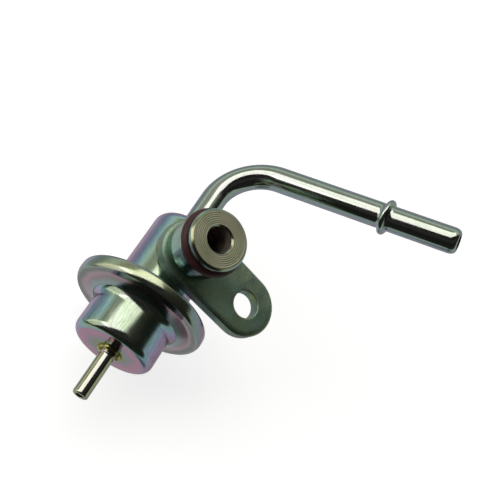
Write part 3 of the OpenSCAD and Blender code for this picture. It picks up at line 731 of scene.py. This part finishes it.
class REGULATOR_OT_plate(bpy.types.Operator):
    """Stamped plate with its bolt lobe and rolled edges"""

    bl_idname = "regulator.plate"
    bl_label = "Mounting plate"

    def execute(self, context):
        s = sizes()
        bm = bmesh.new()

        def ring(points, z):
            return [bm.verts.new((p.x, p.y, z)) for p in points]

        def circle(middle, r):
            return arc(middle, r, 0, 2 * math.pi, SMALL_STEPS)[:-1]

        def rim(at, wide, deep, burr):
            """Wall from the front to the back with a rolled front edge: at(inset) gives its points."""
            rings = []
            for k in range(ROLL_STEPS + 1):
                a = math.pi / 2 * k / ROLL_STEPS
                rings.append(ring(at(wide * (1 - math.sin(a))), -deep * (1 - math.cos(a))))
            rings.append(ring(at(0), -s.plate_t + burr))
            rings.append(ring(at(burr), -s.plate_t))
            skin(bm, rings, closed=False)
            return rings[0], rings[-1]

        shank_hole_r = s.shank_r + SLIP
        loops = [rim(plate_outline, s.plate_roll_w, s.plate_roll_h, CUT),
                 rim(lambda d: circle(lobe_middle(), s.hole_r + d), s.hole_roll_w, s.hole_roll_h, CRISP),
                 rim(lambda d: circle(Vector((0, 0)), shank_hole_r + d), CRISP, CRISP, CRISP)]
        for side in (0, 1):
            edges = []
            for loop in (pair[side] for pair in loops):
                edges += [bm.edges.get((a, b)) for a, b in zip(loop, loop[1:] + loop[:1])]
            bmesh.ops.triangle_fill(bm, use_beauty=True, use_dissolve=False, edges=edges)
        material = plated_steel("Olive chromated stamped plate", FILM_SHEEN_PLATE, rough=0.44, patch_mm=6.0,
                                drift=0.09, mark_mm=0.35, stretch=(1, 0.5, 1), contrast=0.26, slope_mm=0.02)
        piece("plate", bm, [material], "base", "mounting_plate", slot="plate_steel")
        return {"FINISHED"}


def spaced(first, last, count):
    """Lengths from one to another in count steps, without the first."""
    return [first + (last - first) * k / count for k in range(1, count + 1)]


class REGULATOR_OT_tube(bpy.types.Operator):
    """Bent return tube with its hose bead and rounded end"""

    bl_idname = "regulator.tube"
    bl_label = "Return tube"

    def execute(self, context):
        s = sizes()
        run = s.bend_x + s.tube_in
        bend = s.bend_r * math.pi / 2
        bent = run + bend
        bead = bent + s.bead_run
        total = bead + s.hose_run
        out = Vector((0, -math.cos(s.tube_lean), math.sin(s.tube_lean)))
        along = Vector((1, 0, 0))
        middle = Vector((s.bend_x, 0, -s.axis_drop)) + out * s.bend_r
        side = along.cross(out)

        def station(d):
            """Point and two normals of the tube's centre line at a length along it."""
            if d <= run:
                return Vector((d - s.tube_in, 0, -s.axis_drop)), out, side
            if d <= bent:
                a = (d - run) / s.bend_r
                inward = out * math.cos(a) - along * math.sin(a)
                return middle - inward * s.bend_r, inward, side
            return middle + along * s.bend_r + out * (d - bent), -along, side

        def spot(d, r, a, skew):
            """Point of the tube's skin: the bend's outer side is flattened, and the bead leans."""
            place, n1, n2 = station(d - skew * math.cos(a) * r / s.bead_r)
            across = math.cos(a) * r
            if across < 0 and run < d < bent:
                across *= 1 - s.bend_flat * math.sin(math.pi * (d - run) / bend)
            return place + n1 * across + n2 * math.sin(a) * r

        # The tube's skin as (length along it, radius, skew): both legs and the bend, up to the bead
        legs = [0] + spaced(0, run, 12) + spaced(run, bent, 48) + spaced(bent, bead - s.bead_w, 16)
        skins = [(d, s.tube_r, 0) for d in legs]
        # The bead, which runs out in a narrow foot on either side
        foot = s.bead_w / 2 + 0.35 * MM
        swell_steps = 24
        skins.append((bead - foot, s.tube_r, s.bead_skew))
        for k in range(1, swell_steps):
            a = math.pi * (k / swell_steps - 0.5)
            r = s.tube_r + (s.bead_r - s.tube_r) * math.cos(a) ** 0.8
            skins.append((bead + s.bead_w / 2 * math.sin(a), r, s.bead_skew))
        skins.append((bead + foot, s.tube_r, s.bead_skew))
        # The end for the hose, rolled in at its mouth
        tail = total - s.tube_end_len
        first = bead + s.bead_w
        skins += [(d, s.tube_r, 0) for d in [first] + spaced(first, tail, 8)]
        wall = [(d, s.tube_bore_r, 0) for d, _, _ in reversed(skins)]
        for k in range(1, ROLL_STEPS + 1):
            a = math.pi / 2 * k / ROLL_STEPS
            r = s.tube_r - s.tube_end_in * (1 - math.cos(a))
            skins.append((tail + s.tube_end_len * math.sin(a), r, 0))
        skins.append((total - CRISP, s.tube_r - s.tube_end_in - CRISP / 2, 0))
        bm = bmesh.new()
        rings = []
        for d, r, skew in skins + wall:
            turns = (2 * math.pi * k / TUBE_STEPS for k in range(TUBE_STEPS))
            rings.append([bm.verts.new(spot(d, r, a, skew)) for a in turns])
        skin(bm, rings)
        material = plated_steel("Iridescent zinc plated drawn tube", FILM_SHEEN_TUBE, rough=0.11, patch_mm=8.0,
                                drift=0.07, stretch=(0.4, 0.4, 0.4), depth_mm=0.008, contrast=0.1)
        piece("tube", bm, [material], "base", "return_tube", slot="tube_steel")
        return {"FINISHED"}


# Where the braze ran thick: angle and spread in degrees, and how many times wider
NIPPLE_LUMPS = ((130, 26, 1.9), (270, 26, 1.8), (40, 22, 0.7))
TUBE_LUMPS = ((70, 45, 0.8), (200, 60, 0.6))


def lumpy_fillet(r, width, lumps, place):
    """Fillet of braze round a tube of radius r, along +Z of place from the sheet that it lies on and is sunk
    a little into."""
    waver = 0.3
    waves = 2.4
    sunk = -0.1 * MM

    def shape(along, radius, a):
        ripple = noise.noise(Vector((math.cos(a) * waves, math.sin(a) * waves, width / MM)))
        grow = 1.0 + waver * ripple
        for angle, spread, more in lumps:
            off = (math.degrees(a) - angle + 180) % 360 - 180
            grow += more * math.exp(-(off / spread) ** 2)
        return r + (radius - r) * grow, along * grow

    profile = [(sunk, r), (width, r)]
    for k in range(1, FILLET_STEPS + 1):
        a = math.pi / 2 * k / FILLET_STEPS
        profile.append((width * math.cos(a), r + width * math.sin(a)))
    profile.append((sunk, r + width))
    return turned(profile, place, SMALL_STEPS, shape)


class REGULATOR_OT_brazes(bpy.types.Operator):
    """Brazed joints of the nipple, the tube and the plate"""

    bl_idname = "regulator.brazes"
    bl_label = "Brazed joints"

    def execute(self, context):
        s = sizes()
        material = braze_metal()
        left = Matrix.Translation((-s.cup_end, 0, -s.axis_drop)) @ Matrix.Rotation(-math.pi / 2, 4, "Y")
        right = Matrix.Translation((s.can_end, 0, 0)) @ can_axis()
        round_nipple = lumpy_fillet(s.nipple_shank_r, s.nipple_braze_w, NIPPLE_LUMPS, left)
        round_tube = lumpy_fillet(s.tube_r, s.tube_braze_w, TUBE_LUMPS, right)
        piece("nipple_fillet", round_nipple, [material], "base", "nipple_braze", slot="braze")
        piece("tube_fillet", round_tube, [material], "base", "tube_braze", slot="braze")
        dress(material, "plate_braze")
        return {"FINISHED"}


class REGULATOR_OT_valve(bpy.types.Operator):
    """Diaphragm valve inside, with its springs and its seat"""

    bl_idname = "regulator.valve"
    bl_label = "Diaphragm valve"

    def execute(self, context):
        bright = plain_metal("Turned bright steel", "#a3a5a4", "#c3c6c4", rough=0.3, grain_mm=1.0)
        polished = plain_metal("Ground and polished steel", "#c9ccd0", "#dadde0", rough=0.1, grain_mm=2.0)
        wire = plain_metal("Drawn spring wire", "#6f7276", "#8d9094", rough=0.35, grain_mm=0.6)
        brass = plain_metal("Turned brass", "#b8993f", "#d0b461", rough=0.28, grain_mm=1.0)
        dress(bright, "valve_holder", "ball_retainer", "spring_seat")
        dress(polished, "valve_ball", "valve_disc")
        dress(wire, "ball_spring")
        dress(brass, "valve_seat")
        self.spring(wire)
        self.diaphragm(cloth_rubber())
        return {"FINISHED"}

    def spring(self, material):
        """Main spring, copied into a piece with a mesh of its own on the base; in the real regulator the
        valve shortens it towards the cover as it lifts.
        """
        obj = retake("main_spring", "coil_spring", material, "base")
        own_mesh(obj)

    def diaphragm(self, material):
        """Diaphragm, whose edge stays clamped while its middle lifts with the valve and its roll follows
        both."""
        s = sizes()
        obj = retake("diaphragm", "rolled_diaphragm", material)
        axis = Vector((0, 0, -s.axis_drop))
        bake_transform(obj, "base", "valve_lifter", axis + Vector((0, s.roll_out_r, 0)),
                 axis + Vector((0, s.roll_in_r, 0)))
        for spot, vertex in zip(obj.data.attributes["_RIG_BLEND"].data, obj.data.vertices):
            r = math.hypot(vertex.co.y, vertex.co.z + s.axis_drop)
            share = min(max((s.roll_out_r - r) / (s.roll_out_r - s.roll_in_r), 0.0), 1.0)
            spot.value = share * share * (3 - 2 * share)


# Stage

# Directions of the studio's table, which the metal reflects: up from it, to the right along it and ahead
TABLE_UP = Vector((0.06, 0.67, 0.74)).normalized()
SIDEWAYS = Vector((0.467, -0.674, 0.572))
TABLE_RIGHT = (SIDEWAYS - SIDEWAYS.project(TABLE_UP)).normalized()
TABLE_AHEAD = TABLE_UP.cross(TABLE_RIGHT)
# Camera at the photograph's viewing angle: its right and up directions, its place, and its lens in mm
CAMERA_RIGHT = Vector((0.46276, -0.71053, 0.53010))
CAMERA_UP = Vector((0.73662, 0.64089, 0.21599))
CAMERA_PLACE = Vector((-97.417, 51.646, 180.540)) * MM
SENSOR = 36.0
LENS = 61.2
# Floor: its radius in metres, and the distances between which its glow to the camera grows, with its levels
FLOOR_R = 1.5
GLOW_NEAR = (0.12, 0.74)
GLOW_FAR = (0.5, 1.0)
WHITE = (1, 1, 1, 1)
LAMP_WHITE = (1.0, 0.99, 0.97)


class REGULATOR_OT_stage(bpy.types.Operator):
    """Pale floor, soft studio light and the camera"""

    bl_idname = "regulator.stage"
    bl_label = "Stage"

    def execute(self, context):
        scene = context.scene
        self.floor(scene)
        self.room(scene)
        # A long softbox above the table, a little turned and shifted, and a paler one on the left, in metres
        turned_by = Matrix.Rotation(math.radians(14), 3, TABLE_UP)
        wide = turned_by @ TABLE_AHEAD
        above = TABLE_UP * 0.6 + wide * 0.045 + turned_by @ TABLE_RIGHT * 0.06
        self.softbox(scene, "softbox", above, TABLE_UP, wide, size=(0.38, 0.96), radiance=1.4)
        side = (TABLE_UP * 0.6 - TABLE_RIGHT * 0.8 - TABLE_AHEAD * 0.06).normalized()
        self.softbox(scene, "side_softbox", side * 0.7, side, TABLE_AHEAD, size=(0.5, 0.87), radiance=0.8)
        self.camera(scene)
        scene.view_settings.view_transform = "Standard"
        return {"FINISHED"}

    def floor(self, scene):
        """Matt pale paint: white to the camera, and the object's shadow stays on it."""
        bm = bmesh.new()
        bmesh.ops.create_circle(bm, cap_ends=True, segments=96, radius=FLOOR_R,
                                matrix=Matrix.Translation((0, 0, CAD_BOX[0].z)))
        mesh = bpy.data.meshes.new("floor")
        bm.to_mesh(mesh)
        bm.free()
        floor = bpy.data.objects.new("floor", mesh)
        scene.collection.objects.link(floor)
        floor.visible_glossy = False
        material = bpy.data.materials.new("Matt pale floor")
        material.use_nodes = True
        tree = material.node_tree
        tree.nodes.clear()
        paint = add(tree, "BsdfDiffuse", {"Color": list(finishes().floor) + [1.0]})
        coords = add(tree, "TexCoord")
        far = add(tree, "VectorMath", {0: coords.outputs["Object"]}, operation="LENGTH")
        level = add(tree, "MapRange", {"Value": far, "From Min": GLOW_NEAR[0], "To Min": GLOW_NEAR[1],
                                       "From Max": GLOW_FAR[0], "To Max": GLOW_FAR[1]})
        glow = add(tree, "Emission", {"Color": WHITE, "Strength": level})
        both = add(tree, "AddShader", {0: paint, 1: glow})
        path = add(tree, "LightPath")
        seen = add(tree, "MixShader", {0: path.outputs["Is Camera Ray"], 1: paint, 2: both})
        add(tree, "OutputMaterial", {"Surface": seen})
        mesh.materials.append(material)

    def camera(self, scene):
        """Camera at the photograph's viewing angle."""
        cam = bpy.data.cameras.new("camera")
        cam.sensor_width = SENSOR
        cam.sensor_fit = "HORIZONTAL"
        cam.lens = LENS
        cam.clip_start = 0.01
        eye = bpy.data.objects.new("camera", cam)
        scene.collection.objects.link(eye)
        turn = Matrix((CAMERA_RIGHT, CAMERA_UP, CAMERA_RIGHT.cross(CAMERA_UP))).transposed().to_4x4()
        eye.matrix_world = Matrix.Translation(CAMERA_PLACE) @ turn
        scene.camera = eye

    def softbox(self, scene, name, place, facing, wide, size, radiance):
        """Rectangular softbox whose back points along facing: its size along wide and across, and how bright
        it looks."""
        lamp = bpy.data.lights.new(name, "AREA")
        lamp.shape = "RECTANGLE"
        lamp.size, lamp.size_y = size
        lamp.energy = radiance * math.pi * size[0] * size[1]
        lamp.color = LAMP_WHITE
        box = bpy.data.objects.new(name, lamp)
        scene.collection.objects.link(box)
        along = facing.cross(wide).normalized()
        turn = Matrix((along.cross(facing), along, facing)).transposed().to_4x4()
        box.matrix_world = Matrix.Translation(place) @ turn

    def room(self, scene):
        """The world: a pale table, grey walls ahead and a dark room behind, and white to the camera."""
        world = bpy.data.worlds.new("Studio room")
        scene.world = world
        world.use_nodes = True
        tree = world.node_tree
        tree.nodes.clear()
        ray = add(tree, "TexCoord").outputs["Generated"]
        # How far a ray goes up, ahead, ahead on the left, and to the spot under the cup
        under_cup = (TABLE_UP * -0.83 - TABLE_AHEAD * 0.52 - TABLE_RIGHT * 0.2).normalized()
        height, ahead, aside, under = [
            add(tree, "VectorMath", {0: ray, 1: way}, operation="DOT_PRODUCT")
            for way in (TABLE_UP, TABLE_AHEAD, TABLE_AHEAD - TABLE_RIGHT, under_cup)]
        # Walls ahead by height, and the dark room behind
        rise = add(tree, "MapRange", {"Value": height, "From Min": -1.0})
        wall = add(tree, "ValToRGB", {0: rise},
                   ((0.41, "#b5b5b5"), (0.525, "#a6a6a6"), (0.61, "#9b9b9b"), (0.69, "#b4b4b4"),
                    (0.78, "#d8d8d8"), (0.83, "#d8d8d8"), (0.89, "#9c9c9c"), (0.95, "#9c9c9c")))
        near = add(tree, "MapRange", {"Value": ahead, "From Max": 0.35, "To Min": 0.04},
                   interpolation_type="SMOOTHSTEP")
        walls = add(tree, "Math", {0: wall, 1: near}, operation="MULTIPLY")
        # Table, whose edge lies lower towards the camera
        edge = add(tree, "MapRange", {"Value": ahead, "From Min": -0.75, "From Max": -0.5, "To Min": -0.5,
                                      "To Max": -0.04})
        below = add(tree, "Math", {0: edge, 1: height}, operation="SUBTRACT")
        table = add(tree, "MapRange", {"Value": below, "From Max": 0.2}, interpolation_type="SMOOTHSTEP")
        # It is paler ahead on the left, next to the side softbox, and the object shades it under the cup
        pale = add(tree, "MapRange", {"Value": aside, "From Max": 1.1, "To Min": 0.46, "To Max": 0.66})
        shaded = add(tree, "MapRange", {"Value": under, "From Min": 0.955, "From Max": 0.985, "To Min": 1.0,
                                        "To Max": 0.36}, interpolation_type="SMOOTHSTEP")
        lit = add(tree, "Math", {0: pale, 1: shaded}, operation="MULTIPLY")
        laid = add(tree, "Math", {0: table, 1: lit}, operation="MULTIPLY")
        level = add(tree, "Math", {0: walls, 1: laid}, operation="MAXIMUM")
        room = add(tree, "Background", {"Color": WHITE, "Strength": level})
        white = add(tree, "Background", {"Color": WHITE, "Strength": 1.0})
        path = add(tree, "LightPath")
        seen = add(tree, "MixShader", {0: path.outputs["Is Camera Ray"], 1: room, 2: white})
        add(tree, "OutputWorld", {"Surface": seen})


OPERATORS = (REGULATOR_OT_stage, REGULATOR_OT_can, REGULATOR_OT_cover, REGULATOR_OT_nipple,
             REGULATOR_OT_spigot, REGULATOR_OT_ring, REGULATOR_OT_plate, REGULATOR_OT_tube,
             REGULATOR_OT_brazes, REGULATOR_OT_valve)


class REGULATOR_PT_panel(bpy.types.Panel):
    """Sizes, colours and pieces of the regulator"""

    bl_label = "Fuel pressure regulator"
    bl_idname = "REGULATOR_PT_panel"
    bl_space_type = "VIEW_3D"
    bl_region_type = "UI"
    bl_category = "Regulator"

    def draw(self, context):
        layout = self.layout
        for group in (sizes(), finishes()):
            for name in group.__annotations__:
                layout.prop(group, name)
        for operator in OPERATORS:
            layout.operator(operator.bl_idname)


CLASSES = (REGULATOR_Sizes, REGULATOR_Finishes, *OPERATORS, REGULATOR_PT_panel)


def register():
    for cls in CLASSES:
        bpy.utils.register_class(cls)
    bpy.types.Scene.regulator_sizes = PointerProperty(type=REGULATOR_Sizes)
    bpy.types.Scene.regulator_finishes = PointerProperty(type=REGULATOR_Finishes)


def unregister():
    del bpy.types.Scene.regulator_finishes
    del bpy.types.Scene.regulator_sizes
    for cls in reversed(CLASSES):
        bpy.utils.unregister_class(cls)


def main():
    register()
    bpy.ops.regulator.stage()
    bpy.ops.regulator.can()
    bpy.ops.regulator.cover()
    bpy.ops.regulator.nipple()
    bpy.ops.regulator.spigot()
    bpy.ops.regulator.ring()
    bpy.ops.regulator.plate()
    bpy.ops.regulator.tube()
    bpy.ops.regulator.brazes()
    bpy.ops.regulator.valve()


if __name__ == "__main__":
    main()
